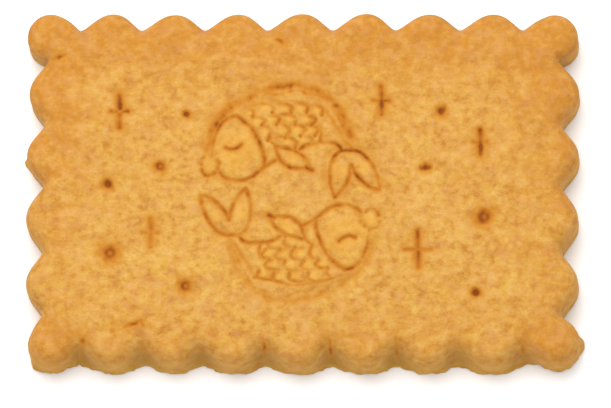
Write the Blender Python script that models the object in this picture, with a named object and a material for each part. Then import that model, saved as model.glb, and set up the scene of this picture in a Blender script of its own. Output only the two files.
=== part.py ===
"""A scalloped shortbread biscuit, stamped with two fish head to tail, five stars and nine docker holes.

The scene is in metres, and every size below is in millimetres, scaled by MM as the meshes are made. +Z is up
and the long side lies along X. The origin is the centre of the flat underside.
"""

import math

import bmesh
import bpy
from mathutils import Matrix, Vector, geometry, noise

MM = 0.001

# Whole biscuit
HALF_LENGTH = 32.4
HALF_WIDTH = 21.1
THICKNESS = 6.4

# Scalloped edge: where the notches between its lobes lie along each side, how far each lobe bulges past the
# cutter's size, and the round ear at each corner. The notches below the two back ears are deeper, and the
# lobes of the long sides lean a little to the right.
NOTCH_DEPTH = 2.0
NECK_DEPTH = 2.35
FRONT_NOTCHES = (-26.0, -18.6, -11.7, -4.3, 3.5, 11.2, 18.2, 26.0)
BACK_NOTCHES = (-26.3, -19.1, -11.6, -4.2, 3.5, 10.9, 18.5, 25.9)
LEFT_NOTCHES = (-14.8, -7.3, 0.6, 7.8, 15.55)
RIGHT_NOTCHES = (-14.8, -7.3, 0.4, 7.7, 15.5)
FRONT_BULGES = (-0.1, -0.2, 0.0, 0.05, 0.05, -0.1, -0.1)
BACK_BULGES = (0.1, 0.0, 0.05, 0.1, 0.1, 0.0, 0.0)
LEFT_BULGES = (0.0, 0.1, 0.1, -0.1)
RIGHT_BULGES = (0.0, 0.0, 0.1, 0.15)
LEAN = 0.4
EAR_CENTRES = {
    (-1, 1): (-29.8, 18.35),
    (1, 1): (29.6, 18.2),
    (1, -1): (29.8, -17.95),
    (-1, -1): (-29.25, -18.25),
}
EAR_RADIUS = 2.8
EAR_ANGLES = (-35, 5, 45, 85, 125)
OUTLINE_STEPS = 4

# Edge of the slab from the underside up: a spread foot, a nearly upright wall and a baked, rounded rim
FOOT_HEIGHT = 1.6
FOOT_ROUNDING = 0.3
FOOT_SPREAD = 0.15
FRONT_FILL = 1.1
FRONT_FILL_FULLNESS = 0.75
RIM_RADIUS = 1.8
RIM_STEPS = 4

# Thin lips of dough pressed out at the foot: middle, how far out and how long
FOOT_LIPS = (
    ((32.6, -17.7), 0.5, 0.9),
    ((-32.5, 4.1), 0.6, 0.6),
    ((-31.2, -20.3), 0.5, 0.8),
    ((32.0, 6.4), 0.4, 0.8),
)

# Top surface between the rims
DOME = 0.25
UNEVEN = 0.12
UNEVEN_SCALE = 0.11
TOP_SPACING = 2.4

# Stamped lines: cuts with a square edge down, and a wide, round trough whose middle lies above the top
LINE_RADIUS = 0.3
LINE_STEPS = 3
SCALE_RADIUS = 0.24
TROUGH_RADIUS = 0.75
TROUGH_RISE = 0.35
TROUGH_ROUNDNESS = 2
TAPERED_END = 0.15

# The upper fish, in millimetres from the middle of the pair. The lower one is the same, turned half round.
PAIR_CENTRE = (-1.4, -0.55)
FISH_LINES = (
    ((-9.2, 4.4), (-9.0, 6.7), (-8.2, 8.2), (-6.9, 9.1)),
    ((-6.3, 9.0), (-4.9, 7.8), (-3.5, 5.6), (-3.0, 3.2)),
    ((-8.6, 2.7), (-7.6, 1.7), (-5.6, 1.5), (-3.9, 2.3), (-2.4, 3.4), (-1.4, 4.0)),
    ((-8.4, 2.4), (-9.4, 1.9), (-10.3, 2.3), (-10.4, 3.8), (-9.2, 4.3), (-8.4, 3.5), (-8.5, 2.8)),
    ((-7.6, 5.3), (-6.7, 5.1), (-5.8, 5.7)),
    ((1.1, 5.1), (2.4, 5.9), (4.4, 6.0), (5.7, 5.2)),
    ((-1.8, 5.6), (0.5, 5.1), (1.6, 4.2), (2.4, 2.5)),
    ((-1.7, 5.4), (-1.2, 4.1), (0.2, 3.0), (2.6, 2.7)),
    ((5.8, 4.9), (4.8, 3.8), (4.7, 1.7), (5.4, -0.7)),
    ((5.1, -0.5), (6.3, 0.5), (7.0, 1.9), (7.2, 3.4)),
    ((7.0, 3.2), (7.7, 2.0), (8.8, 0.8), (10.6, 0.4)),
    ((6.4, 5.1), (8.2, 4.7), (9.7, 3.4), (10.4, 0.2)),
    ((-3.9, 10.4), (-1.9, 10.8), (1.7, 10.5), (3.8, 9.7)),
)
BACK_TROUGH = ((-9.0, 6.3), (-8.4, 8.4), (-5.4, 10.9), (0.5, 12.6), (4.0, 11.4), (6.1, 8.4), (6.5, 5.8))
SCALE_ROWS = (
    ((-5.4, 9.9), (-3.4, 10.6), (-0.9, 10.9), (1.1, 10.6)),
    ((-4.4, 9.0), (-2.3, 9.4), (-0.1, 9.6), (1.6, 9.4)),
    ((-3.4, 8.0), (-1.6, 8.2), (0.4, 8.1), (2.6, 8.0)),
    ((-2.6, 6.2), (-0.6, 6.6), (1.3, 6.8), (3.5, 6.2)),
)
SCALE_FULLNESS = 0.4
SCALE_OVERLAP = 0.15

# Stars of two crossed cuts: centre, half the upright cut, half the level cut
STARS = (
    ((-21.6, 9.3), 1.9, 1.2),
    ((9.2, 10.4), 1.8, 1.1),
    ((20.8, 5.5), 1.6, 1.2),
    ((-17.8, -5.4), 1.8, 1.1),
    ((13.5, -7.3), 2.4, 1.8),
)
STAR_RADIUS = 0.45

# Docker holes, pricked with blunt pins: centre, radius at the top and depth
DOCKER_HOLES = (
    ((-13.7, 8.9), 0.55, 1.8),
    ((-16.7, 2.6), 0.65, 1.3),
    ((-22.9, 0.5), 0.65, 1.9),
    ((-22.5, -7.8), 0.95, 0.9),
    ((-13.7, -11.6), 0.8, 1.1),
    ((16.2, 9.2), 0.75, 1.9),
    ((14.5, 2.5), 0.6, 2.2),
    ((21.2, -3.3), 1.0, 1.2),
    ((20.3, -12.4), 0.8, 2.2),
)
DOCKER_TIP_SHARE = 0.6
DOCKER_SIDES = 10

# Baking cracks, each between its two ends
CRACKS = (
    ((-29.8, 15.9), (-28.4, 15.3)),
    ((-3.3, 17.9), (-1.8, 17.2)),
    ((-20.4, -16.3), (-18.3, -17.0)),
)
CRACK_RADIUS = 0.3


def clear_scene():
    for obj in list(bpy.data.objects):
        bpy.data.objects.remove(obj, do_unlink=True)


def new_collection(name):
    collection = bpy.data.collections.new(name)
    bpy.context.scene.collection.children.link(collection)
    return collection


def baked_dough():
    material = bpy.data.materials.new("baked_dough")
    material.use_nodes = True
    shader = material.node_tree.nodes["Principled BSDF"]
    shader.inputs["Base Color"].default_value = (0.76, 0.37, 0.075, 1.0)
    shader.inputs["Roughness"].default_value = 0.75
    shader.inputs["Metallic"].default_value = 0.0
    return material


def mesh_from_curve(curve):
    """The curve as a closed mesh, its end caps welded on."""
    guide = bpy.data.objects.new(curve.name, curve)
    bpy.context.scene.collection.objects.link(guide)
    evaluated = guide.evaluated_get(bpy.context.evaluated_depsgraph_get())
    mesh = bpy.data.meshes.new_from_object(evaluated)
    bpy.data.objects.remove(guide, do_unlink=True)
    weld = bmesh.new()
    weld.from_mesh(mesh)
    bmesh.ops.remove_doubles(weld, verts=weld.verts, dist=0.002 * MM)
    bmesh.ops.recalc_face_normals(weld, faces=weld.faces)
    weld.to_mesh(mesh)
    weld.free()
    return mesh


def side_knots(notches, bulges, lean, last_depth, place):
    """Knots of one side's lobes: a sharp notch, then a round crest. place(along, depth) gives the point."""
    knots = []
    for here, after, bulge in zip(notches, notches[1:], bulges):
        knots.append((place(here, NOTCH_DEPTH), "VECTOR"))
        knots.append((place((here + after) / 2 + lean, -bulge), "AUTO"))
    knots.append((place(notches[-1], last_depth), "VECTOR"))
    return knots


def ear_knots(side_x, side_y):
    """Knots round one corner's ear, from its level side to its upright side."""
    centre = Vector(EAR_CENTRES[side_x, side_y])
    knots = []
    for degrees in EAR_ANGLES:
        angle = math.radians(degrees)
        reach = Vector((side_x * math.sin(angle), side_y * math.cos(angle))) * EAR_RADIUS
        knots.append((centre + reach, "AUTO"))
    return knots


def outline_knots():
    """The scalloped outline, counter-clockwise from the front left."""

    def front(x, depth):
        return Vector((x, depth - HALF_WIDTH))

    def right(y, depth):
        return Vector((HALF_LENGTH - depth, y))

    def back(x, depth):
        return Vector((x, HALF_WIDTH - depth))

    def left(y, depth):
        return Vector((depth - HALF_LENGTH, y))

    knots = side_knots(FRONT_NOTCHES, FRONT_BULGES, LEAN, NOTCH_DEPTH, front)
    knots += ear_knots(1, -1)
    knots += side_knots(RIGHT_NOTCHES, RIGHT_BULGES, 0.0, NECK_DEPTH, right)
    knots += ear_knots(1, 1)[::-1]
    knots += side_knots(BACK_NOTCHES, BACK_BULGES, LEAN, NOTCH_DEPTH, back)[::-1]
    knots += ear_knots(-1, 1)
    knots += side_knots(LEFT_NOTCHES, LEFT_BULGES, 0.0, NECK_DEPTH, left)[::-1]
    knots += ear_knots(-1, -1)[::-1]
    return knots


def outline_points():
    """The outline as points in order round it."""
    knots = outline_knots()
    curve = bpy.data.curves.new("outline", "CURVE")
    spline = curve.splines.new("BEZIER")
    spline.bezier_points.add(len(knots) - 1)
    spline.use_cyclic_u = True
    spline.resolution_u = OUTLINE_STEPS
    for bezier_point, (place, handle) in zip(spline.bezier_points, knots):
        bezier_point.co = place.to_3d() * MM
        bezier_point.handle_left_type = handle
        bezier_point.handle_right_type = handle
    mesh = mesh_from_curve(curve)
    return [vertex.co.xy / MM for vertex in mesh.vertices]


def outward_normals(points):
    normals = []
    for before, after in zip(points[-1:] + points[:-1], points[1:] + points[:1]):
        along = (after - before).normalized()
        normals.append(Vector((along.y, -along.x)))
    return normals


def top_height(x, y):
    """Height of the top before it is stamped: a low dome, a little uneven."""
    dome = DOME * (1 - (x / HALF_LENGTH) ** 2) * (1 - (y / HALF_WIDTH) ** 2)
    uneven = UNEVEN * noise.noise(Vector((x, y, 0.0)) * UNEVEN_SCALE)
    return THICKNESS - DOME - UNEVEN + dome + uneven


def front_fill(point, height):
    """How far dough has crept out of the front notches at this height."""
    depth = min(max(0.0, point.y + HALF_WIDTH), NOTCH_DEPTH)
    past_last_notch = max(0.0, abs(point.x) - FRONT_NOTCHES[-1])
    if point.y > 0 or past_last_notch > FOOT_HEIGHT:
        return 0.0
    filled = FRONT_FILL * (depth / NOTCH_DEPTH) ** FRONT_FILL_FULLNESS
    return filled * lowness(height) * (1 - past_last_notch / FOOT_HEIGHT)


def lowness(height):
    """1 on the ground, 0 at the foot's upper edge and above."""
    return max(0.0, 1 - height / FOOT_HEIGHT)


def lip_reach(point, height):
    """How far the lips at the foot stick out here."""
    reach = 0.0
    for middle, out, length in FOOT_LIPS:
        gap = (point - Vector(middle)).length
        reach += out * math.exp(-((gap / length) ** 2))
    return reach * lowness(height)


def ring_below_rim(points, normals, height, spread):
    ring = []
    for point, normal in zip(points, normals):
        place = point + normal * (spread + lip_reach(point, height))
        ring.append(Vector((place.x, place.y - front_fill(point, height), height)))
    return ring


def ring_on_rim(points, normals, angle):
    ring = []
    for point, normal in zip(points, normals):
        place = point - normal * RIM_RADIUS * (1 - math.cos(angle))
        drop = RIM_RADIUS * (1 - math.sin(angle))
        ring.append(Vector((place.x, place.y, top_height(place.x, place.y) - drop)))
    return ring


def slab_rings():
    """The edge's sections, from the underside up."""
    points = outline_points()
    normals = outward_normals(points)
    rings = [
        ring_below_rim(points, normals, 0.0, FOOT_SPREAD - FOOT_ROUNDING),
        ring_below_rim(points, normals, FOOT_ROUNDING, FOOT_SPREAD),
        ring_below_rim(points, normals, FOOT_HEIGHT, 0.0),
    ]
    for step in range(RIM_STEPS + 1):
        rings.append(ring_on_rim(points, normals, math.radians(90) * step / RIM_STEPS))
    return rings


def top_triangles(rim):
    """A staggered grid of points inside the rim: every point, the rim's first, and the triangles between."""
    places = [point.xy for point in rim]
    rows = int(2 * HALF_WIDTH / TOP_SPACING)
    columns = int(2 * HALF_LENGTH / TOP_SPACING)
    for row in range(rows):
        for column in range(columns):
            x = (column + 0.5 * (row % 2)) * TOP_SPACING - HALF_LENGTH
            y = row * TOP_SPACING - HALF_WIDTH
            place = Vector((x, y))
            nearest = min((place - point.xy).length for point in rim)
            if nearest > TOP_SPACING / 2 and inside(place, rim):
                places.append(place)
    edges = [(i, (i + 1) % len(rim)) for i in range(len(rim))]
    found = geometry.delaunay_2d_cdt(places, edges, [tuple(range(len(rim)))], 1, 1e-6)
    return found[0], found[2]


def inside(place, ring):
    """Whether a plan point lies within the ring."""
    crossings = 0
    for start, end in zip(ring, ring[1:] + ring[:1]):
        if (start.y > place.y) != (end.y > place.y):
            share = (place.y - start.y) / (end.y - start.y)
            crossings += place.x < start.x + share * (end.x - start.x)
    return crossings % 2 == 1


def slab_mesh():
    rings = slab_rings()
    slab = bmesh.new()
    loops = [[slab.verts.new(point * MM) for point in ring] for ring in rings]
    count = len(loops[0])
    for lower, upper in zip(loops, loops[1:]):
        for i in range(count):
            j = (i + 1) % count
            slab.faces.new((lower[i], lower[j], upper[j], upper[i]))
    slab.faces.new(loops[0][::-1])
    places, triangles = top_triangles(rings[-1])
    tops = loops[-1] + [
        slab.verts.new(Vector((x, y, top_height(x, y))) * MM) for x, y in places[count:]
    ]
    for triangle in triangles:
        slab.faces.new([tops[i] for i in triangle])
    bmesh.ops.recalc_face_normals(slab, faces=slab.faces)
    mesh = bpy.data.meshes.new("biscuit")
    slab.to_mesh(mesh)
    slab.free()
    return mesh


def add_cutter(cutters, name, mesh):
    cutter = bpy.data.objects.new(name, mesh)
    cutter.hide_render = True
    cutter.display_type = "WIRE"
    cutters.objects.link(cutter)


def groove(cutters, name, places, radius, rise=0.0, roundness=0, tapered=False):
    """A line pressed into the top along the places: V-shaped, or rounder with more roundness."""
    curve = bpy.data.curves.new(name, "CURVE")
    curve.dimensions = "3D"
    curve.twist_mode = "Z_UP"
    curve.bevel_depth = radius * MM
    curve.bevel_resolution = roundness
    curve.use_fill_caps = True
    spline = curve.splines.new("BEZIER")
    spline.bezier_points.add(len(places) - 1)
    spline.resolution_u = LINE_STEPS
    for i, (x, y) in enumerate(places):
        bezier_point = spline.bezier_points[i]
        bezier_point.co = Vector((x, y, top_height(x, y) + rise)) * MM
        bezier_point.handle_left_type = "AUTO"
        bezier_point.handle_right_type = "AUTO"
        if tapered and i in (0, len(places) - 1):
            bezier_point.radius = TAPERED_END
    add_cutter(cutters, name, mesh_from_curve(curve))


def scale_arc(start, end):
    """One scale's edge, from just before its upper knot, round towards the tail, to its lower knot."""
    before = Vector((start[0] - SCALE_OVERLAP, start[1]))
    bulge = Vector((end[0] + SCALE_FULLNESS, (start[1] + end[1]) / 2 + SCALE_FULLNESS / 2))
    return (before, bulge, Vector(end))


def fish_lines():
    """Every V-shaped line of the upper fish: name, places and radius."""
    lines = [(f"line_{i}", line, LINE_RADIUS) for i, line in enumerate(FISH_LINES)]
    for row, (upper, lower) in enumerate(zip(SCALE_ROWS, SCALE_ROWS[1:])):
        for column, (start, end) in enumerate(zip(upper, lower)):
            lines.append((f"scale_{row}_{column}", scale_arc(start, end), SCALE_RADIUS))
    return lines


def stamp_fish(cutters, name, turn):
    def placed(places):
        return [Matrix.Rotation(turn, 2) @ Vector(place) + Vector(PAIR_CENTRE) for place in places]

    for part, places, radius in fish_lines():
        groove(cutters, f"{name}_{part}", placed(places), radius)
    back = placed(BACK_TROUGH)
    groove(cutters, f"{name}_back", back, TROUGH_RADIUS, TROUGH_RISE, TROUGH_ROUNDNESS)


def stamp_star(cutters, name, centre, upright, level):
    x, y = centre
    cuts = {
        "upright": ((x, y + upright), (x, y), (x, y - upright)),
        "level": ((x - level, y), (x, y), (x + level, y)),
    }
    for cut, places in cuts.items():
        groove(cutters, f"{name}_{cut}", places, STAR_RADIUS, tapered=True)


def prick(cutters, name, centre, radius, depth):
    """A docker hole: a blunt pin, narrower towards its tip, with as much length above the top as below."""
    pin = bmesh.new()
    widening = (1 - DOCKER_TIP_SHARE) * radius
    bmesh.ops.create_cone(
        pin,
        cap_ends=True,
        segments=DOCKER_SIDES,
        radius1=(radius - widening) * MM,
        radius2=(radius + widening) * MM,
        depth=2 * depth * MM,
        matrix=Matrix.Translation(Vector((*centre, top_height(*centre))) * MM),
    )
    mesh = bpy.data.meshes.new(name)
    pin.to_mesh(mesh)
    pin.free()
    add_cutter(cutters, name, mesh)


def crack(cutters, name, start, end):
    middle = (Vector(start) + Vector(end)) / 2
    groove(cutters, name, (Vector(start), middle, Vector(end)), CRACK_RADIUS, tapered=True)


def make_cutters():
    cutters = new_collection("stamp")
    stamp_fish(cutters, "upper_fish", 0.0)
    stamp_fish(cutters, "lower_fish", math.pi)
    for i, (centre, upright, level) in enumerate(STARS):
        stamp_star(cutters, f"star_{i}", centre, upright, level)
    for i, (centre, radius, depth) in enumerate(DOCKER_HOLES):
        prick(cutters, f"docker_hole_{i}", centre, radius, depth)
    for i, (start, end) in enumerate(CRACKS):
        crack(cutters, f"crack_{i}", start, end)
    return cutters


def make_biscuit():
    parts = new_collection("shortbread_biscuit")
    mesh = slab_mesh()
    mesh.materials.append(baked_dough())
    mesh.shade_smooth()
    mesh.set_sharp_from_angle(angle=math.radians(40))
    biscuit = bpy.data.objects.new("biscuit", mesh)
    parts.objects.link(biscuit)
    stamped = biscuit.modifiers.new("stamped", "BOOLEAN")
    stamped.operation = "DIFFERENCE"
    stamped.operand_type = "COLLECTION"
    stamped.collection = make_cutters()


clear_scene()
make_biscuit()
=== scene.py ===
import math

import bpy
import numpy as np
from mathutils import Matrix, Vector, geometry, kdtree, noise


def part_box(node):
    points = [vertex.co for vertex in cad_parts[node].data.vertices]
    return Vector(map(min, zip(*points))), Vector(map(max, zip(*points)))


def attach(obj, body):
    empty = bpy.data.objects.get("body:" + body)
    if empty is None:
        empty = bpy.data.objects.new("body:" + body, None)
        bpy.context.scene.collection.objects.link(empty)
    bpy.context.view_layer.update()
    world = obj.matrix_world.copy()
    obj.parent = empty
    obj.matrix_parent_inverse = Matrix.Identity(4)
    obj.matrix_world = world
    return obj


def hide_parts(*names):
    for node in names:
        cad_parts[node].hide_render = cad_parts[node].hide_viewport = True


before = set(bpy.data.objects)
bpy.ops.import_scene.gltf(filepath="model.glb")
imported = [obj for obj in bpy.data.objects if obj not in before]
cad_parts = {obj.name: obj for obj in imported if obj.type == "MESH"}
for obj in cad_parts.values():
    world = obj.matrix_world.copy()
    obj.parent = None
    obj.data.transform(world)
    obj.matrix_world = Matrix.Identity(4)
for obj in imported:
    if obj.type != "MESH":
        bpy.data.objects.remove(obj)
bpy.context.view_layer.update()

# The biscuit's outline
# One piece of butter dough, rolled 6 mm thick and cut out by a scalloped cutter: seven round lobes between
# two ears on each long side, four on each short side. Sizes are in millimetres until the mesh is made.
MM = 0.001
HALF_LENGTH = 32.4
HALF_WIDTH = 21.1
NOTCH_DEPTH = 2.0
NECK_DEPTH = 2.35
FRONT_NOTCHES = (-26.0, -18.6, -11.7, -4.3, 3.5, 11.2, 18.2, 26.0)
BACK_NOTCHES = (-26.3, -19.1, -11.6, -4.2, 3.5, 10.9, 18.5, 25.9)
LEFT_NOTCHES = (-14.8, -7.3, 0.6, 7.8, 15.55)
RIGHT_NOTCHES = (-14.8, -7.3, 0.4, 7.7, 15.5)
FRONT_BULGES = (-0.1, -0.2, 0.0, 0.05, 0.05, -0.1, -0.1)
BACK_BULGES = (0.1, 0.0, 0.05, 0.1, 0.1, 0.0, 0.0)
LEFT_BULGES = (0.0, 0.1, 0.1, -0.1)
RIGHT_BULGES = (0.0, 0.0, 0.1, 0.15)
LEAN = 0.4
EAR_CENTRES = {
    (-1, 1): (-29.8, 18.35),
    (1, 1): (29.6, 18.2),
    (1, -1): (29.8, -17.95),
    (-1, -1): (-29.25, -18.25),
}
EAR_RADIUS = 2.8
EAR_ANGLES = (-35, 5, 45, 85, 125)
OUTLINE_STEPS = 12
NOTCH_ROUNDING = 1


def side_knots(notches, bulges, lean, last_depth, place):
    """Knots of one side's lobes: a sharp notch, then a round crest. place(along, depth) gives the point."""
    knots = []
    for here, after, bulge in zip(notches, notches[1:], bulges):
        knots.append((place(here, NOTCH_DEPTH), "VECTOR"))
        knots.append((place((here + after) / 2 + lean, -bulge), "AUTO"))
    knots.append((place(notches[-1], last_depth), "VECTOR"))
    return knots


def ear_knots(side_x, side_y):
    """Knots round one corner's ear, from its level side to its upright side."""
    knots = []
    for degrees in EAR_ANGLES:
        angle = math.radians(degrees)
        reach = Vector((side_x * math.sin(angle), side_y * math.cos(angle))) * EAR_RADIUS
        knots.append((Vector(EAR_CENTRES[side_x, side_y]) + reach, "AUTO"))
    return knots


def cutter_outline():
    """The cutter's outline in order, counter-clockwise from the front left, with its notches rounded."""

    def front(x, depth):
        return Vector((x, depth - HALF_WIDTH))

    def right(y, depth):
        return Vector((HALF_LENGTH - depth, y))

    def back(x, depth):
        return Vector((x, HALF_WIDTH - depth))

    def left(y, depth):
        return Vector((depth - HALF_LENGTH, y))

    knots = side_knots(FRONT_NOTCHES, FRONT_BULGES, LEAN, NOTCH_DEPTH, front)
    knots += ear_knots(1, -1)
    knots += side_knots(RIGHT_NOTCHES, RIGHT_BULGES, 0.0, NECK_DEPTH, right)
    knots += ear_knots(1, 1)[::-1]
    knots += side_knots(BACK_NOTCHES, BACK_BULGES, LEAN, NOTCH_DEPTH, back)[::-1]
    knots += ear_knots(-1, 1)
    knots += side_knots(LEFT_NOTCHES, LEFT_BULGES, 0.0, NECK_DEPTH, left)[::-1]
    knots += ear_knots(-1, -1)[::-1]
    curve = bpy.data.curves.new("cutter_outline", "CURVE")
    spline = curve.splines.new("BEZIER")
    spline.bezier_points.add(len(knots) - 1)
    spline.use_cyclic_u = True
    spline.resolution_u = OUTLINE_STEPS
    for bezier_point, (place, handle) in zip(spline.bezier_points, knots):
        bezier_point.co = place.to_3d()
        bezier_point.handle_left_type = handle
        bezier_point.handle_right_type = handle
    guide = bpy.data.objects.new("cutter_outline", curve)
    bpy.context.scene.collection.objects.link(guide)
    mesh = bpy.data.meshes.new_from_object(guide.evaluated_get(bpy.context.evaluated_depsgraph_get()))
    points = np.array([vertex.co.xy for vertex in mesh.vertices])
    bpy.data.objects.remove(guide, do_unlink=True)
    bpy.data.meshes.remove(mesh)
    for _ in range(NOTCH_ROUNDING):
        points = (np.roll(points, 1, 0) + 2 * points + np.roll(points, -1, 0)) / 4
    return points


def outward(points):
    """The directions straight out of the outline at its points."""
    along = np.roll(points, -1, 0) - np.roll(points, 1, 0)
    along /= np.linalg.norm(along, axis=1)[:, None]
    return np.stack([along[:, 1], -along[:, 0]], axis=1)


outline = cutter_outline()
outline_normals = outward(outline)

# The stamped relief
# Before baking, a stamp presses two fish, five stars and the docker pins' holes into the raw dough, and
# the oven browns them; their colour is also darkened with depth as painted shade in the cuts. Their marks
# are drawn on a tray, a fine grid over the biscuit, which the mesh below reads.
CELL = 0.06
TRAY_HALF_LENGTH = 33.5
TRAY_HALF_WIDTH = 22.2
LUMP_SOFTNESS = 1.6
tray_x, tray_y = np.meshgrid(
    np.arange(-TRAY_HALF_LENGTH, TRAY_HALF_LENGTH, CELL),
    np.arange(-TRAY_HALF_WIDTH, TRAY_HALF_WIDTH, CELL),
)
# The tray's layers: dough pressed down and swollen up, in millimetres, and then shares of a tone, which
# are browned cuts darkened as painted shade, ashen spots with painted shade in the back notches, seared
# ears, painted light in the side notches, painted shade in the front notches, and puffed pillows tinted
# yellower with a painted highlight.
crease, swell, toast_and_shade, ashen_and_notch_shade, seared, side_notch_light, front_notch_shade, puffed_tint_and_highlight = np.zeros((8, *tray_x.shape))


def unevenness(size, seed):
    """Seeded unevenness over the tray, of unit strength, with lumps about this many millimetres across."""
    grains = np.random.default_rng(seed).standard_normal(tray_x.shape)
    rows = np.fft.fftfreq(tray_x.shape[0], CELL)[:, None]
    columns = np.fft.rfftfreq(tray_x.shape[1], CELL)[None, :]
    soft = np.fft.rfft2(grains) * np.exp(-((rows**2 + columns**2) * size**2) * LUMP_SOFTNESS)
    lumps = np.fft.irfft2(soft, tray_x.shape)
    return lumps / lumps.std()


def window_round(low, high):
    """The part of the tray between two corners."""
    first = np.maximum(((low - (tray_x[0, 0], tray_y[0, 0])) / CELL).astype(int), 0)
    last = ((high - (tray_x[0, 0], tray_y[0, 0])) / CELL).astype(int) + 1
    return (slice(first[1], last[1]), slice(first[0], last[0]))


def near_place(x, y, reach):
    """The window of the tray near a place, and each cell's distance to it."""
    window = window_round(np.array((x - reach, y - reach)), np.array((x + reach, y + reach)))
    return window, np.hypot(tray_x[window] - x, tray_y[window] - y)


def smooth_line(places, step=0.12):
    """Points along a smooth curve through the places, like a bent wire."""
    places = np.array(places, float)
    ends = np.vstack([2 * places[0] - places[1], places, 2 * places[-1] - places[-2]])
    points = []
    for before, start, end, after in zip(ends, ends[1:], ends[2:], ends[3:]):
        count = max(2, int(np.linalg.norm(end - start) / step))
        for share in np.arange(count) / count:
            bend = 2 * before - 5 * start + 4 * end - after
            turn = 3 * start - before - 3 * end + after
            points.append(start + 0.5 * share * (end - before + share * (bend + share * turn)))
    return np.array(points + [places[-1]])


def near_line(path, reach):
    """The window of the tray near a path, each cell's distance to it and its share of the way along."""
    window = window_round(path.min(0) - reach, path.max(0) + reach)
    x, y = tray_x[window], tray_y[window]
    gap = np.full(x.shape, np.inf)
    share = np.zeros(x.shape)
    for i, (start, run) in enumerate(zip(path, np.diff(path, axis=0))):
        passed = np.clip(((x - start[0]) * run[0] + (y - start[1]) * run[1]) / (run @ run), 0, 1)
        here = np.hypot(x - start[0] - passed * run[0], y - start[1] - passed * run[1])
        closer = here < gap
        gap = np.where(closer, here, gap)
        share = np.where(closer, (i + passed) / (len(path) - 1), share)
    return window, gap, share


WORN_SHARE = 0.15
WORN_LIMITS = (0.5, 1.4)
DARKENED_LIMITS = (0.3, 1.6)
TORN_EDGE = 0.02
FLANK_WIDTH = 3
wear = unevenness(1.6, seed=11)
scorch = unevenness(0.7, seed=12)
torn = unevenness(0.45, seed=13)


def stamp_line(places, depth, half_width, tone=1.0, flank=0.4, patchy=0.12, along=(1, 1, 1)):
    """Presses a line: a narrow crease with a wide soft flank on each side, unevenly browned, with painted
    shade.

    flank is the flank's share of the depth and patchy how unevenly it darkened. along is the line's
    strength at its start, middle and end.
    """
    window, gap, share = near_line(smooth_line(places), 2 * FLANK_WIDTH * half_width + 0.5)
    gap = np.abs(gap + TORN_EDGE * torn[window])
    narrow = np.exp(-((gap / half_width) ** 2))
    wide = np.exp(-((gap / (FLANK_WIDTH * half_width)) ** 2))
    cut = ((1 - flank) * narrow + flank * wide) * np.interp(share, (0, 0.5, 1), along)
    worn = np.clip(1 + WORN_SHARE * wear[window], *WORN_LIMITS)
    darkened = np.clip(worn + patchy * scorch[window], *DARKENED_LIMITS)
    crease[window] = np.maximum(crease[window], depth * worn * cut)
    toast_and_shade[window] = np.maximum(toast_and_shade[window], tone * darkened * cut)


def stamp_dot(x, y, radius, depth, tone):
    """Presses a soft round dot and browns it, with painted shade where it is deepest."""
    window, gap = near_place(x, y, 3 * radius)
    dot = np.exp(-((gap / radius) ** 2))
    crease[window] = np.maximum(crease[window], depth * dot)
    toast_and_shade[window] = np.maximum(toast_and_shade[window], tone * dot)


# The pair of fish
# The stamp's main figure is a pair of fish, head to tail round the biscuit's middle. Its blunt edges leave
# soft furrows, and the dough between them puffs up in the oven.
FISH_CENTRE = (-1.34, -0.57)
TURNED_FISH_CENTRE = (-1.2, -0.69)
STAMP_RADIUS = 11.5
STAMP_REACH = 15
STAMP_TONE = 0.08
# One fish's lines as it lies before it is turned, with its head to the left: from its middle, in millimetres
OUTLINES = (
    ((-9.2, 4.3), (-9.1, 5.4), (-8.9, 6.5), (-8.5, 7.5), (-7.9, 8.4), (-7.2, 8.9), (-6.4, 9.1)),
    ((-6.3, 9.1), (-5.0, 8.1), (-4.3, 7.3), (-3.7, 6.2), (-3.3, 5.2), (-3.0, 4.1), (-3.0, 3.1)),
    (
        (-8.2, 2.3), (-7.7, 1.8), (-7.0, 1.5), (-6.1, 1.4),
        (-5.3, 1.5), (-4.4, 1.9), (-3.0, 3.0), (-1.5, 3.9),
    ),
    ((1.1, 5.1), (1.7, 5.5), (2.7, 5.8), (3.9, 5.9), (4.9, 5.9), (5.6, 5.6), (6.1, 5.0)),
    ((-1.7, 5.5), (-0.8, 5.3), (0.1, 5.1), (0.8, 4.8), (1.6, 4.2), (2.1, 3.5), (2.4, 2.8)),
    ((-1.7, 5.5), (-1.5, 4.7), (-1.2, 3.9), (-0.7, 3.4), (0.1, 2.9), (1.2, 2.8), (2.4, 2.7)),
    ((5.9, 4.9), (5.3, 4.4), (4.9, 3.6), (4.7, 2.6), (4.7, 1.5), (4.9, 0.4), (5.3, -0.6)),
    ((5.3, -0.6), (6.0, 0.1), (6.6, 1.1), (7.0, 2.1), (7.2, 3.2)),
    ((7.2, 3.2), (7.6, 2.3), (8.3, 1.5), (9.0, 0.9), (9.9, 0.4), (10.6, 0.3)),
    ((5.9, 4.9), (6.9, 5.0), (7.9, 4.9), (8.7, 4.4), (9.5, 3.5), (10.0, 2.5), (10.4, 1.4), (10.6, 0.3)),
)
LIPS = (
    (
        (-10.4, 3.4), (-10.3, 3.9), (-9.9, 4.2), (-9.3, 4.3),
        (-8.8, 4.0), (-8.4, 3.6), (-8.3, 3.2), (-8.5, 2.7),
    ),
    ((-10.3, 2.6), (-10.1, 2.1), (-9.7, 1.9), (-9.1, 2.0), (-8.8, 2.3)),
)
EYE = ((-7.6, 5.3), (-6.9, 5.1), (-6.2, 5.3), (-5.7, 5.7))
FIN_TIP = ((1.9, 2.9), (2.6, 2.6))
FIN_ROOT = ((-2.6, 6.2), (-2.1, 5.9), (-1.7, 5.5))
NAPE = ((-6.0, 9.7), (-4.5, 10.3), (-3.2, 10.6), (-1.9, 10.8), (-0.2, 10.9), (1.5, 10.5), (4.2, 10.0))
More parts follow.
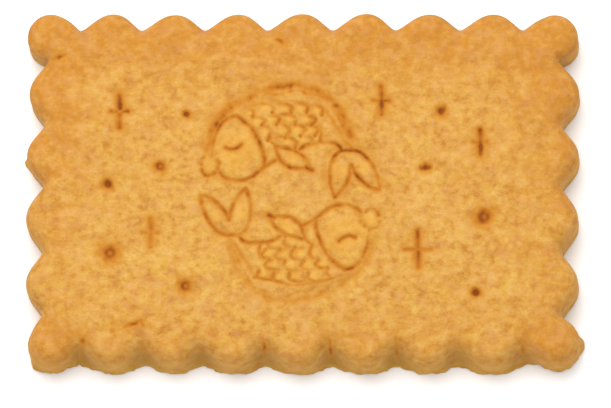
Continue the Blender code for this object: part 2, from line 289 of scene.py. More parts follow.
# Each scale's edge: its two ends and how far it bulges towards the tail
SCALES = (
    ((-4.9, 9.8), (-4.4, 9.0), 0.1),
    ((-3.9, 10.5), (-2.1, 9.5), 0.0),
    ((-1.7, 10.5), (0.1, 9.5), 0.0),
    ((0.3, 10.6), (1.9, 9.5), 0.1),
    ((2.2, 10.3), (3.7, 9.2), 0.1),
    ((-4.4, 8.9), (-3.3, 8.0), 0.3),
    ((-2.7, 9.1), (-1.6, 8.1), 0.3),
    ((-1.3, 9.2), (0.6, 8.1), 0.1),
    ((0.9, 9.1), (2.5, 8.0), 0.4),
    ((-3.3, 7.8), (-2.6, 6.2), 0.3),
    ((-1.9, 8.0), (-0.6, 6.5), 0.5),
    ((0.0, 8.0), (1.2, 6.7), 0.5),
    ((1.7, 7.9), (2.9, 6.7), 0.4),
    ((3.2, 7.8), (3.5, 6.1), 0.1),
    ((-1.6, 6.5), (0.6, 5.2), 0.1),
    ((0.8, 6.6), (2.2, 5.7), 0.4),
)
BACK_TROUGH = (
    (-9.6, 5.2), (-9.2, 6.9), (-8.5, 8.5), (-7.1, 10.0), (-5.5, 11.1), (-3.7, 12.0), (-1.4, 12.5),
    (0.6, 12.8), (2.5, 12.5), (4.2, 11.5), (5.5, 10.0), (6.5, 8.2), (7.0, 6.6),
)
BACK_EDGE = (
    (-5.2, 10.9), (-4.2, 11.5), (-3.0, 11.8), (-1.7, 11.7), (-0.7, 11.8), (0.2, 12.2), (1.1, 12.2),
    (1.9, 11.8), (2.9, 11.7), (3.9, 11.3), (4.6, 10.7), (5.1, 9.9), (5.7, 8.8), (6.2, 7.7), (6.6, 6.8),
)
TAIL_STEP = ((7.4, 5.1), (6.5, 6.1), (5.9, 7.1), (5.1, 8.3), (4.3, 9.6))
TAIL_SLOPES = (
    ((5.4, 5.3), (4.6, 4.5), (4.2, 3.2), (4.1, 1.8), (4.4, 0.2)),
    ((7.5, 5.4), (9.2, 4.8), (10.3, 3.5), (10.9, 1.8), (10.9, 0.4)),
)
# Where the dough puffed up between the lines: the middle, the radius and the rise
PILLOWS = (
    ((-6.2, 5.0), 2.5, 0.1), ((-9.4, 3.3), 0.8, 0.1), ((0.4, 4.1), 1.0, 0.08), ((5.8, 2.4), 0.9, 0.08),
    ((8.7, 2.8), 0.9, 0.08),
)
PILLOW_TONE = 0.8
SCALE_RADIUS = 0.6
SCALE_RISE = 0.14
PUFF_HIGHLIGHT_RADIUS = 0.55


def scale_edge(start, end, bulge):
    """One scale's edge: level from its upper end, bulging to the tail, and back in to its lower end."""
    (x0, y0), (x1, y1) = start, end
    over = (0.45 * x0 + 0.55 * x1 + 0.4 * bulge, y0 + 0.05)
    turn = (x1 + bulge, 0.7 * y0 + 0.3 * y1)
    return (start, over, turn, (x1 + 0.6 * bulge, 0.2 * y0 + 0.8 * y1), end)


def stamp_fish(centre, turn, strength, trough_tone, edge_tone, nape_tone):
    """Presses one fish, turned about the pair's middle. A weaker stamp leaves it shallower and paler."""
    spin = np.array(((math.cos(turn), math.sin(turn)), (-math.sin(turn), math.cos(turn))))

    def placed(places):
        return np.array(places) @ spin + centre

    faint = strength**2
    for line in OUTLINES:
        # The wide faint stroke gives each outline a soft slope with painted shade on it; the narrow one is
        # the cut.
        stamp_line(placed(line), depth=0.08 * strength, half_width=0.5, tone=0.22 * strength)
        stamp_line(placed(line), depth=0.24 * strength, half_width=0.19, tone=1.05 * strength, flank=0.5)
    for line in LIPS:
        stamp_line(
            placed(line), depth=0.18 * strength, half_width=0.19, tone=0.85 * strength,
            flank=0.5, patchy=0.3,
        )
    stamp_line(placed(NAPE), depth=0.1, half_width=0.16, tone=nape_tone)
    stamp_line(
        placed(EYE), depth=0.28 * strength, half_width=0.2, tone=1.5 * faint,
        patchy=0.0, along=(0.8, 1, 0.9),
    )
    stamp_line(placed(FIN_TIP), depth=0.3, half_width=0.26, tone=1.3)
    stamp_line(placed(FIN_ROOT), depth=0.15, half_width=0.17, tone=0.75)
    stamp_line(placed(BACK_TROUGH), depth=0.2, half_width=0.48, tone=trough_tone, patchy=0.2)
    stamp_line(placed(BACK_TROUGH), depth=0.22, half_width=0.16, tone=1.05 * trough_tone, patchy=0.1)
    stamp_line(placed(BACK_EDGE), depth=0.12, half_width=0.18, tone=edge_tone, flank=0.45, patchy=0.25)
    stamp_line(placed(TAIL_STEP), depth=0.1, half_width=0.24, tone=edge_tone, flank=0.5, patchy=0.2)
    # The tail's slopes carry painted shade beside the tail.
    for slope in TAIL_SLOPES:
        stamp_line(placed(slope), depth=0.14 * strength, half_width=0.4, tone=0.35 * trough_tone)
    for start, end, bulge in SCALES:
        stamp_line(
            placed(scale_edge(start, end, bulge)), depth=0.24 * strength, half_width=0.18, tone=faint,
            flank=0.5, patchy=0.15, along=(0.5, 0.85, 1.05),
        )
        stamp_dot(*placed(end), radius=0.25, depth=0.24 * strength, tone=1.1 * faint)
        middle = (0.4 * start[0] + 0.6 * end[0], (start[1] + end[1]) / 2)
        window, gap = near_place(*placed(middle), 2 * SCALE_RADIUS)
        swell[window] += SCALE_RISE * np.exp(-((gap / SCALE_RADIUS) ** 2))
        # The scale's middle is tinted yellower, partly as a painted highlight on its puffed top.
        puffed_tint_and_highlight[window] = np.maximum(puffed_tint_and_highlight[window], np.exp(-((gap / PUFF_HIGHLIGHT_RADIUS) ** 2)))
    for (x, y), radius, rise in PILLOWS:
        window, gap = near_place(*placed((x, y)), 2 * radius)
        pillow = np.exp(-((gap / radius) ** 4))
        swell[window] += rise * pillow
        # Each pillow is tinted the same way, partly as a painted highlight.
        puffed_tint_and_highlight[window] = np.maximum(puffed_tint_and_highlight[window], PILLOW_TONE * pillow)


stamp_fish(FISH_CENTRE, turn=0.0, strength=1.0, trough_tone=0.9, edge_tone=0.7, nape_tone=0.45)
stamp_fish(
    TURNED_FISH_CENTRE, turn=math.pi, strength=0.88, trough_tone=0.45, edge_tone=0.5, nape_tone=0.8
)
window, gap = near_place(*FISH_CENTRE, STAMP_REACH)
toast_and_shade[window] = np.maximum(toast_and_shade[window], STAMP_TONE * np.exp(-((gap / STAMP_RADIUS) ** 6)))

# The stars
# Each star is a cross of two worn strokes from the same stamp. In some, the dough filled the middle up
# again, and beside one the stamp slipped and left a soft brown spot.
# Each one's centre, half its upright and level strokes, strength, and how far its middle is filled
STARS = (
    ((-21.45, 9.1), 1.9, 1.0, 1.1, 0.4),
    ((9.3, 10.4), 1.65, 1.0, 1.1, 0.0),
    ((20.95, 5.4), 1.45, 0.85, 1.05, 0.0),
    ((-17.6, -5.45), 1.6, 1.0, 0.8, 0.2),
    ((13.7, -7.35), 2.1, 1.6, 0.95, 0.3),
)
SLIP_SPOT = (9.95, 10.8)
FILLED_RADIUS = 0.4
for (x, y), upright, level, strength, filled in STARS:
    # The broad faint stroke just left of the upright one is a shallow slope with painted shade on it.
    shade = ((x - 0.2, y + upright), (x - 0.2, y - 0.8 * upright))
    stamp_line(shade, depth=0.14, half_width=0.42, tone=0.65 * strength, flank=0.3)
    for away in (1, -1):
        stroke = ((x - 0.05 * away, y + away * upright), (x + 0.05, y + filled * away))
        stamp_line(
            stroke, depth=0.28 * strength, half_width=0.29, tone=1.2 * strength, flank=0.5, patchy=0.06
        )
        stamp_dot(*stroke[0], radius=0.3, depth=0.24 * strength, tone=1.15 * strength)
        level_stroke = ((x + away * level, y + 0.03), (x + 0.8 * filled * away, y))
        stamp_line(level_stroke, depth=0.2 * strength, half_width=0.23, tone=0.95 * strength, flank=0.5)
    window, gap = near_place(x + 0.1, y, 3 * FILLED_RADIUS)
    ashen_and_notch_shade[window] += 1.5 * filled * np.exp(-((gap / FILLED_RADIUS) ** 2))
stamp_dot(*SLIP_SPOT, radius=0.5, depth=0.1, tone=0.6)

# The docker holes
# Blunt pins prick the dough right after stamping so that it bakes flat. Each hole is a soft round pit,
# browned in the middle and darkened there as painted shade. In some the dough has risen again and shows
# as a pale button at the bottom, and two pins dragged the dough a little.
# Each one's centre, radius, depth and how far its button has risen
DOCKER_HOLES = (
    ((-13.6, 8.8), 0.36, 0.3, 0.0),
    ((-16.65, 2.55), 0.55, 0.45, 0.7),
    ((-22.7, 0.45), 0.52, 0.55, 0.0),
    ((-22.4, -7.8), 0.75, 0.5, 0.75),
    ((-13.5, -11.7), 0.62, 0.45, 0.7),
    ((16.35, 9.15), 0.52, 0.55, 0.3),
    ((14.5, 2.35), 0.38, 0.5, 0.0),
    ((21.35, -3.45), 0.75, 0.55, 0.65),
    ((20.45, -12.5), 0.45, 0.6, 0.0),
)
DRAGS = (((14.1, 2.3), (14.95, 2.42)), ((20.1, -12.52), (20.85, -12.46)))
RAGGED_SHARE = 0.12
FLANK_SHARE = 2.2
BUTTON_SHARE = 0.42
BUTTON_SHIFT = 0.06
for (x, y), radius, depth, button in DOCKER_HOLES:
    window, gap = near_place(x, y, 4 * radius)
    ragged = gap * (1 + RAGGED_SHARE * scorch[window])
    hole = np.exp(-((ragged / radius) ** 1.8))
    flank = np.exp(-((ragged / (FLANK_SHARE * radius)) ** 2))
    off_centre = np.hypot(tray_x[window] - x - BUTTON_SHIFT, tray_y[window] - y)
    risen = button * np.exp(-((off_centre / (BUTTON_SHARE * radius)) ** 3))
    # Its core and flank are browned dough and painted shade in the pit.
    darkened = (1.35 - 0.15 * button) * hole + 0.55 * flank - 1.1 * risen
    crease[window] = np.maximum(crease[window], depth * (0.8 * hole + 0.2 * flank - 0.5 * risen))
    toast_and_shade[window] = np.maximum(toast_and_shade[window], darkened)
    ashen_and_notch_shade[window] += 0.9 * risen
for drag in DRAGS:
    stamp_line(drag, depth=0.4, half_width=0.28, tone=1.35)

# Baking marks on the top
# The oven leaves short ragged cracks, a few brown pits, open pores where butter boiled out, and folds
# where the lobes of the front edge meet, darkened with painted shade, as the front notches are. Its heat
# sears the ears. The side notches' walls get painted light and the back notches painted shade.
CRACKS = (
    ((-29.8, 15.3), (-29.3, 15.6), (-28.6, 15.75), (-28.0, 15.9)),
    ((-3.4, 17.9), (-2.6, 17.6), (-1.9, 17.1)),
    ((-20.6, -16.6), (-19.9, -16.3), (-19.2, -16.2), (-18.7, -15.9), (-18.3, -16.4)),
)
# Brown pits: the centre, radius and tone of each
PITS = (
    ((-25.4, -18.1), 0.42, 1.25), ((-21.9, -17.0), 0.45, 0.75), ((-21.9, -16.1), 0.4, 0.6),
    ((-22.0, -15.4), 0.35, 0.4), ((-25.9, -17.2), 0.7, 0.45), ((-24.0, 17.6), 0.4, 0.7),
    ((-5.7, 10.2), 0.35, 0.6), ((0.4, 12.0), 0.35, 0.6), ((3.9, 10.1), 0.3, 0.5),
    ((-28.6, 15.75), 0.25, 0.9), ((-28.4, 13.6), 0.3, 0.5),
)
# Folds between the front lobes: the two ends and the tone of each
FOLDS = (
    ((-25.6, -18.2), (-25.9, -19.8), 0.5), ((-18.5, -18.3), (-18.6, -19.9), 0.5),
    ((-11.6, -18.5), (-11.7, -20.0), 0.35), ((-4.3, -17.6), (-4.3, -19.9), 0.9),
    ((3.4, -18.0), (3.5, -19.8), 0.85), ((11.1, -17.6), (11.2, -19.6), 0.8),
    ((18.1, -18.3), (18.2, -19.8), 0.55), ((25.8, -18.1), (26.0, -19.8), 0.7),
)
# Painted shade in the front and back notches, painted light in the side notches, and the seared ears:
# where they lie and how far they reach
NOTCH_SHADE_Y = -19.9
NOTCH_SHADE_RADIUS = 1.8
NOTCH_SHADE_REACH = 3.5
BACK_NOTCH_SHADE_Y = 18.9
BACK_NOTCH_SHADE_RADIUS = 0.7
NOTCH_LIGHT_X = 30.6
NOTCH_LIGHT_RADIUS = 1.3
SEARED_RADIUS = 3.5
# Ashen spots in and round the stamped figure: the centre and radius of each
ASHEN_SPOTS = (
    ((-8.3, 7.9), 0.9), ((-7.3, 10.0), 0.6), ((-2.0, 12.0), 1.5), ((0.2, 12.3), 1.1), ((3.5, 10.9), 1.3),
    ((8.8, 1.6), 1.0), ((-11.6, -3.0), 1.3), ((-9.5, -4.1), 1.1), ((-8.1, -2.0), 0.9), ((4.0, -10.2), 1.3),
    ((-0.5, -13.6), 1.4), ((-5.6, -14.0), 1.1), ((0.5, -0.4), 1.6),
)
PORES = 1500
CRUMBS = 700
SCATTER_CORNER = np.array((32.5, 21.2))
SCATTER_SEED = 2

for crack in CRACKS:
    stamp_line(crack, depth=0.2, half_width=0.22, flank=0.45, patchy=0.3, along=(0.55, 1, 0.7))
for (x, y), radius, tone in PITS:
    stamp_dot(x, y, radius, depth=0.05, tone=tone)
for (x, y), end, tone in FOLDS:
    # The fold's wide valley and its dark line are darkened partly with painted shade.
    valley = ((x, y + 0.8), end)
    stamp_line(valley, depth=0.2, half_width=0.7, tone=0.12, flank=0.6)
    kinked = ((x, y), (x + 0.12, (y + end[1]) / 2), end)
    stamp_line(
        kinked, depth=0.2 * tone, half_width=0.14, tone=0.95 * tone,
        flank=0.5, patchy=0.4, along=(0.7, 1, 1),
    )
    # Painted shade in the front notch, round its lowest point.
    window, gap = near_place(x, NOTCH_SHADE_Y, NOTCH_SHADE_REACH)
    front_notch_shade[window] += np.exp(-((gap / NOTCH_SHADE_RADIUS) ** 2))
# Greyish painted shade in the back notches.
for x in BACK_NOTCHES:
    window, gap = near_place(x, BACK_NOTCH_SHADE_Y, 3 * BACK_NOTCH_SHADE_RADIUS)
    ashen_and_notch_shade[window] += 0.7 * np.exp(-((gap / BACK_NOTCH_SHADE_RADIUS) ** 2))
# Painted light on the walls in the side notches, which sit in shade.
for side in (-1, 1):
    for y in LEFT_NOTCHES:
        window, gap = near_place(side * NOTCH_LIGHT_X, y, 2.3 * NOTCH_LIGHT_RADIUS)
        side_notch_light[window] += np.exp(-((gap / NOTCH_LIGHT_RADIUS) ** 4))
for x, y in EAR_CENTRES.values():
    window, gap = near_place(x, y, 1.7 * SEARED_RADIUS)
    seared[window] += np.exp(-((gap / SEARED_RADIUS) ** 4))


def scatter(count, size, height, layer):
    """Scatters round marks of uneven size over the tray: pits where the height is negative."""
    places = random.uniform(-SCATTER_CORNER, SCATTER_CORNER, (count, 2))
    sizes = size * np.exp(0.35 * random.standard_normal(count))
    heights = height * random.uniform(0.3, 1.0, count)
    for (x, y), radius, rise in zip(places, sizes, heights):
        window, gap = near_place(x, y, 2.2 * radius)
        layer[window] += rise * np.exp(-((gap / radius) ** 2))


random = np.random.default_rng(SCATTER_SEED)
scatter(PORES, size=0.17, height=-0.04, layer=swell)
scatter(CRUMBS, size=0.22, height=0.025, layer=swell)
# The top's own unevenness, from the dough's grain up to broad waves left by the rolling pin
for height, size, seed in ((0.01, 0.55, 5), (0.015, 1.4, 6), (0.05, 4.0, 7)):
    swell += height * unevenness(size, seed)

ashen_grain = np.clip(0.35 + 0.5 * unevenness(0.7, seed=8), 0, 1)
for (x, y), radius in ASHEN_SPOTS:
    window, gap = near_place(x, y, 2 * radius)
    ashen_and_notch_shade[window] += 0.6 * ashen_grain[window] * np.exp(-((gap / radius) ** 2))


def read_tray(layer, points):
    """The layer's value at each point, between its four nearest cells."""
    column = (points[:, 0] - tray_x[0, 0]) / CELL
    row = (points[:, 1] - tray_y[0, 0]) / CELL
    i, j = row.astype(int), column.astype(int)
    down, over = row - i, column - j
    upper = layer[i, j] * (1 - over) + layer[i, j + 1] * over
    lower = layer[i + 1, j] * (1 - over) + layer[i + 1, j + 1] * over
    return upper * (1 - down) + lower * down


# The biscuit's body
# The baked slab: a flat underside, a slightly spread foot with dough crept out of the front notches, a
# wall, a rounded rim and the stamped top. The top's points lie closer together where the stamp cut.
THICKNESS = 6.4
DOME = 0.25
UNEVEN = 0.12
UNEVEN_SCALE = 0.11
RIM_RADIUS = 1.9
RIM_HEIGHT_BACK = 1.7
RIM_HEIGHT_FRONT = 3.1
RIM_INSETS = (0.015, 0.05, 0.11, 0.2, 0.33)
FOOT_HEIGHT = 1.6
FOOT_ROUNDING = 0.3
FOOT_SPREAD = 0.15
FOOT_TEARS = 0.1
TEAR_HEIGHT = 1.0
TEAR_FRONT = -17
WALL_LUMP = 0.018
FRONT_FILL = 1.1
FRONT_FILL_HEIGHT = 3.2
FRONT_FILL_SLOPE = 1.6
FRONT_FILL_FULLNESS = 0.75
NOTCH_SAG = 0.4
NOTCH_SAG_WIDTH = 0.9
NOTCH_SAG_REACH = 2.6
# Thin lips of dough pressed out at the foot: the middle of each, how far out it goes and how long it is
FOOT_LIPS = (
    ((32.6, -17.7), 0.5, 0.9),
    ((-32.5, 4.1), 0.6, 0.6),
    ((-31.2, -20.3), 0.5, 0.8),
    ((32.0, 6.4), 0.4, 0.8),
)
# The relief fades in over this stretch in from the edge.
RELIEF_START = 0.2
RELIEF_FADE = 0.9
# How closely the mesh's points lie
WALL_STEPS = 12
STEPS_LOW = 1.15
FIELD_SPACING = 0.24
CUT_SPACING = 0.11
CUT_SLOPE = 0.15
UNDERSIDE_SPACING = 0.9
UNDERSIDE_PITS = 0.12
TOP_LOW = 1.2
TOP_FADE = 2


def notch_sag(points):
    """How far the top sinks towards the front notches, between the puffed lobes."""
    gap = np.abs(points[:, :1] - FRONT_NOTCHES).min(1)
    near = np.clip((NOTCH_SAG_REACH + NOTCH_DEPTH - HALF_WIDTH - points[:, 1]) / NOTCH_SAG_REACH, 0, 1)
    return NOTCH_SAG * near**1.5 * np.exp(-((gap / NOTCH_SAG_WIDTH) ** 2))


def top_height(points):
    """Height of the top before it is stamped: a low dome, a little uneven, sunk at the front notches."""
    x, y = points[:, 0], points[:, 1]
    dome = DOME * (1 - (x / HALF_LENGTH) ** 2) * (1 - (y / HALF_WIDTH) ** 2)
    uneven = np.array([noise.noise((a * UNEVEN_SCALE, b * UNEVEN_SCALE, 0.0)) for a, b in points])
    return THICKNESS - DOME - UNEVEN + dome + UNEVEN * uneven - notch_sag(points)


def rim_height(points):
    """Height of the rounded rim, which grows towards the front."""
    frontness = np.clip(0.5 - points[:, 1] / (2 * HALF_WIDTH), 0, 1)
    return RIM_HEIGHT_BACK + (RIM_HEIGHT_FRONT - RIM_HEIGHT_BACK) * frontness


def rim_drop(points, inset):
    """How far the rounded rim lies below the top at this distance in from the wall."""
    in_rim = np.clip(1 - inset / RIM_RADIUS, 0, 1)
    return rim_height(points) * (1 - np.sqrt(1 - in_rim**2))


def staggered(spacing, half_length, half_width):
    """A staggered grid of points over this half length and half width."""
    x, y = np.meshgrid(
        np.arange(-half_length, half_length, spacing),
        np.arange(-half_width, half_width, spacing * math.sqrt(3) / 2),
    )
    x[1::2] += spacing / 2
    return np.stack([x.ravel(), y.ravel()], axis=1)


def nearest_gaps(points, ring):
    """Each point's distance to the nearest of the ring's points."""
    tree = kdtree.KDTree(len(ring))
    for i, (x, y) in enumerate(ring):
        tree.insert((x, y, 0), i)
    tree.balance()
    return np.array([tree.find((x, y, 0))[2] for x, y in points])


def fill_ring(ring, points):
    """All places, the ring's first, and the triangles that join them over the inside of the ring."""
    places = [Vector(place) for place in np.vstack([ring, points])]
    border = [(i, (i + 1) % len(ring)) for i in range(len(ring))]
    found = geometry.delaunay_2d_cdt(places, border, [tuple(range(len(ring)))], 1, 1e-6)
    return np.array([place[:] for place in found[0]]), np.array(found[2])


def top_points(ring):
    """Points on the top: a close grid where the stamp cut, an open one elsewhere, none at the ring."""
    slope = np.hypot(*np.gradient(crease, CELL))
    close = staggered(CUT_SPACING, 32, 21)
    close = close[read_tray(slope, close) > CUT_SLOPE]
    open_grid = staggered(FIELD_SPACING, 33, 22)
    open_grid = open_grid[read_tray(slope, open_grid) <= CUT_SLOPE]
    points = np.vstack([close, open_grid])
    return points[nearest_gaps(points, ring) > 0.6 * FIELD_SPACING]


def front_fill(points, height):
    """How far dough has crept out of the front notches at this height."""
    depth = np.clip(points[:, 1] + HALF_WIDTH, 0, NOTCH_DEPTH) / NOTCH_DEPTH
    past = np.clip(np.abs(points[:, 0]) - FRONT_NOTCHES[-1], 0, FOOT_HEIGHT) / FOOT_HEIGHT
    low = np.clip(1 - height / FRONT_FILL_HEIGHT, 0, 1) ** FRONT_FILL_SLOPE
    return np.where(points[:, 1] < 0, FRONT_FILL * depth**FRONT_FILL_FULLNESS * low * (1 - past), 0)


def lip_reach(points, height):
    """How far the thin lips of dough at the foot stick out."""
    low = np.clip(1 - height / FOOT_HEIGHT, 0, 1)
    gaps = [np.hypot(*(points - middle).T) / length for middle, _, length in FOOT_LIPS]
    return low * sum(out * np.exp(-(gap**2)) for gap, (_, out, _) in zip(gaps, FOOT_LIPS))


def wall_rings():
    """Rings of the wall from the underside's edge up to the rim, slightly lumpy as torn dough is."""
    rings = []
    wall_top = top_height(outline) - rim_height(outline)
    # Three sets of lumps come and go at different heights, and fade out at the foot and below the rim.
    on_tray = outline * 0.98
    lumps = np.stack([read_tray(unevenness(1.1, seed), on_tray) for seed in (20, 21, 22)])
    tears = FOOT_TEARS * np.clip(read_tray(unevenness(0.8, seed=25), on_tray), -2, 1)
    tears *= outline[:, 1] < TEAR_FRONT
    for step in range(WALL_STEPS + 1):
        share = step / WALL_STEPS
        height = wall_top * share**STEPS_LOW
        foot = FOOT_SPREAD * np.clip(1 - height / FOOT_HEIGHT, 0, 1)
        curl = FOOT_ROUNDING * np.clip(1 - height / FOOT_ROUNDING, 0, 1) ** 2
        turns = share * 5 + np.array(((0,), (2,), (4,)))
        fading = math.sin(math.pi * min(1, share * 1.2 + 0.1))
        lump = WALL_LUMP * (lumps * np.sin(turns)).sum(0) * fading
        lip = lip_reach(outline, height)
        torn_off = tears * np.clip(1 - height / TEAR_HEIGHT, 0, 1)
        places = outline + outline_normals * (foot - curl + lump + lip + torn_off)[:, None]
        places[:, 1] -= front_fill(outline, height)
        rings.append(np.column_stack([places, height]))
    for inset in RIM_INSETS:
        places = outline - outline_normals * inset
        rings.append(np.column_stack([places, top_height(places) - rim_drop(places, inset)]))
    return rings


def ring_quads(lower, count):
    """Four-sided faces between the ring that starts at this number and the next one up."""
    i = np.arange(count)
    j = (i + 1) % count
    return np.column_stack([lower + i, lower + j, lower + count + j, lower + count + i])


def make_biscuit():
    """The biscuit's mesh, with each point's browning, painted shade and painted light kept as attributes
    for its material.
    """
    rings = wall_rings()
    count = len(outline)
    rim = rings[-1][:, :2]
    places, top_faces = fill_ring(rim, top_points(rim))
    inner = places[count:]
    inset = nearest_gaps(inner, outline)
    fade = np.clip((inset - RELIEF_START) / RELIEF_FADE, 0, 1)
    relief = read_tray(swell, inner) * (0.35 + 0.65 * fade) - read_tray(crease, inner) * fade
    top = np.column_stack([inner, top_height(inner) - rim_drop(inner, inset) + relief])

    foot_ring = rings[0][:, :2]
    floor_grid = staggered(UNDERSIDE_SPACING, 33, 22)
    floor_grid = floor_grid[nearest_gaps(floor_grid, foot_ring) > 0.5 * UNDERSIDE_SPACING]
    floor_places, floor_faces = fill_ring(foot_ring, floor_grid)
    floor_inner = floor_places[count:]
    pitted = UNDERSIDE_PITS * np.clip(read_tray(unevenness(1.2, seed=9), floor_inner) - 0.6, 0, 1)
    underside = np.column_stack([floor_inner, pitted])

    ring_points = np.vstack(rings)
    points = np.vstack([ring_points, top, underside])
    top_start = len(ring_points)
    floor_start = top_start + len(top)
    last_ring = top_start - count
    top_faces = np.where(top_faces < count, top_faces + last_ring, top_faces - count + top_start)
    floor_faces = np.where(floor_faces < count, floor_faces, floor_faces - count + floor_start)
    quads = np.vstack([ring_quads(k * count, count) for k in range(len(rings) - 1)])
    faces = [tuple(face) for face in quads.tolist()]
    faces += [tuple(face) for face in top_faces.tolist()]
    faces += [tuple(face[::-1]) for face in floor_faces.tolist()]
    used = np.zeros(len(points), bool)
    for numbers in (quads, top_faces, floor_faces):
        used[numbers.ravel()] = True
    renumbered = np.cumsum(used) - 1
    faces = [tuple(int(renumbered[i]) for i in face) for face in faces]

    # The baked piece keeps inside the solid's box.
    low, high = (np.array(corner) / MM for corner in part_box("biscuit"))
    points = np.clip(points, low, high)
    mesh = bpy.data.meshes.new("baked_biscuit")
    mesh.from_pydata((points[used] * MM).tolist(), [], faces)
    mesh.shade_smooth()

    seen_from_above = np.clip((points[:, 2] - TOP_LOW) / TOP_FADE, 0, 1)
    layers = {
        "toast_and_shade": read_tray(toast_and_shade, points[:, :2]) * seen_from_above,
        "ashen_and_notch_shade": read_tray(ashen_and_notch_shade, points[:, :2]) * seen_from_above,
        "seared": read_tray(seared, points[:, :2]),
        "side_notch_light": read_tray(side_notch_light, points[:, :2]),
        "front_notch_shade": read_tray(front_notch_shade, points[:, :2]),
        "puffed_tint_and_highlight": read_tray(puffed_tint_and_highlight, points[:, :2]) * seen_from_above,
        "inset": np.concatenate([np.zeros(top_start), inset, np.zeros(len(underside))]),
    }
    for name, values in layers.items():
        layer = mesh.attributes.new(name, "FLOAT", "POINT")
        layer.data.foreach_set("value", values[used].astype(np.float32))
    biscuit = bpy.data.objects.new("baked_biscuit", mesh)
    bpy.context.scene.collection.objects.link(biscuit)
    return biscuit


biscuit = make_biscuit()


# The baked dough
# Butter dough bakes dry and matt: pale gold on the top, deeper orange-brown on the rim and in the cuts,
# where painted shade darkens them too, mottled by the flour's grain, with darker flecks of browned butter
# and a few greyish ones of flour.
class Dough:
    """A socket in the dough's nodes. Sums of sockets and numbers add the Math nodes for them."""

    def __init__(self, tree, socket=None):
        self.tree = tree
        self.socket = socket

    def node(self, kind, settings=None, sockets=None, output=0):
        """Adds a node of this kind, makes its settings, then fills its sockets, and gives one output."""
        made = self.tree.nodes.new(kind)
        for name, value in (settings or {}).items():
            setattr(made, name, value)
        for name, value in (sockets or {}).items():
            if isinstance(value, Dough):
                self.tree.links.new(value.socket, made.inputs[name])
            else:
                made.inputs[name].default_value = value
        return Dough(self.tree, made.outputs[output])

    def maths(self, operation, first, second, clamped=False):
        """A Math node on two sockets or numbers."""
        settings = {"operation": operation, "use_clamp": clamped}
        return self.node("ShaderNodeMath", settings, {0: first, 1: second})

    def __add__(self, other):
        return self.maths("ADD", self, other)

    __radd__ = __add__

    def __mul__(self, other):
        return self.maths("MULTIPLY", self, other)

    __rmul__ = __mul__

    def __sub__(self, other):
        return self.maths("SUBTRACT", self, other)

    def __rsub__(self, other):
        return self.maths("SUBTRACT", other, self)

    def held(self):
        """The value kept between 0 and 1."""
        return self.maths("ADD", self, 0.0, clamped=True)

    def between(self, low, high):
        """0 below low, 1 above high, smooth in between."""
        sockets = {"Value": self, "From Min": low, "From Max": high}
        return self.node("ShaderNodeMapRange", {"interpolation_type": "SMOOTHSTEP"}, sockets)

    def tint(self, plain, tinted):
        """The plain colour where this is 0 and the tinted one where it is 1."""
        sockets = {0: self.held(), 6: plain, 7: tinted}
        return self.node("ShaderNodeMix", {"data_type": "RGBA"}, sockets, output=2)


LIGHT_ON_TOP = 1.46


def seen(red, green, blue):
    """The dough's own colour where it looks like this, 0 to 255, under the lamp's full light."""
    shares = np.array((red, green, blue)) / 255
    linear = np.where(shares <= 0.04045, shares / 12.92, ((shares + 0.055) / 1.055) ** 2.4)
    return (*(linear / LIGHT_ON_TOP).tolist(), 1.0)


GOLD = seen(235, 181, 83)
AMBER = seen(225, 165, 67)
BUTTER = seen(231, 182, 71)
ORANGE = seen(200, 131, 42)
STRAW = seen(239, 193, 107)
MAUVE = seen(208, 151, 100)
FLANK = seen(214, 143, 42)
RUSSET = seen(200, 116, 14)
CHESTNUT = seen(140, 66, 3)
PEACH = seen(227, 166, 106)
HONEY = seen(241, 178, 66)
NOTCH_SHADE_OLIVE = seen(184, 136, 40)
RIM_GOLD = seen(215, 142, 38)
WALL_BROWN = seen(222, 168, 52)
NOTCH_LIGHT_BEIGE = seen(238, 190, 104)
FOOT_OLIVE = seen(212, 170, 34)
UNDERSIDE_BROWN = seen(205, 138, 58)
# Where the tones fade in, in millimetres: in from the edge, from the front to the back, and up the wall
RIM_REACH = (0.5, 9)
BACK_RAMP = (-12, 20)
WALL_TOP = (THICKNESS - 3.6, THICKNESS - 0.9)
FOOT_TOP = (0.15, 0.9)
UNDERSIDE_EDGE = (0.02, 0.15)
ROLLED_OUT = (0.9, 1.05, 1)
SPECK_BEND = 0.7
GRAIN_RELIEF = 0.08 * MM


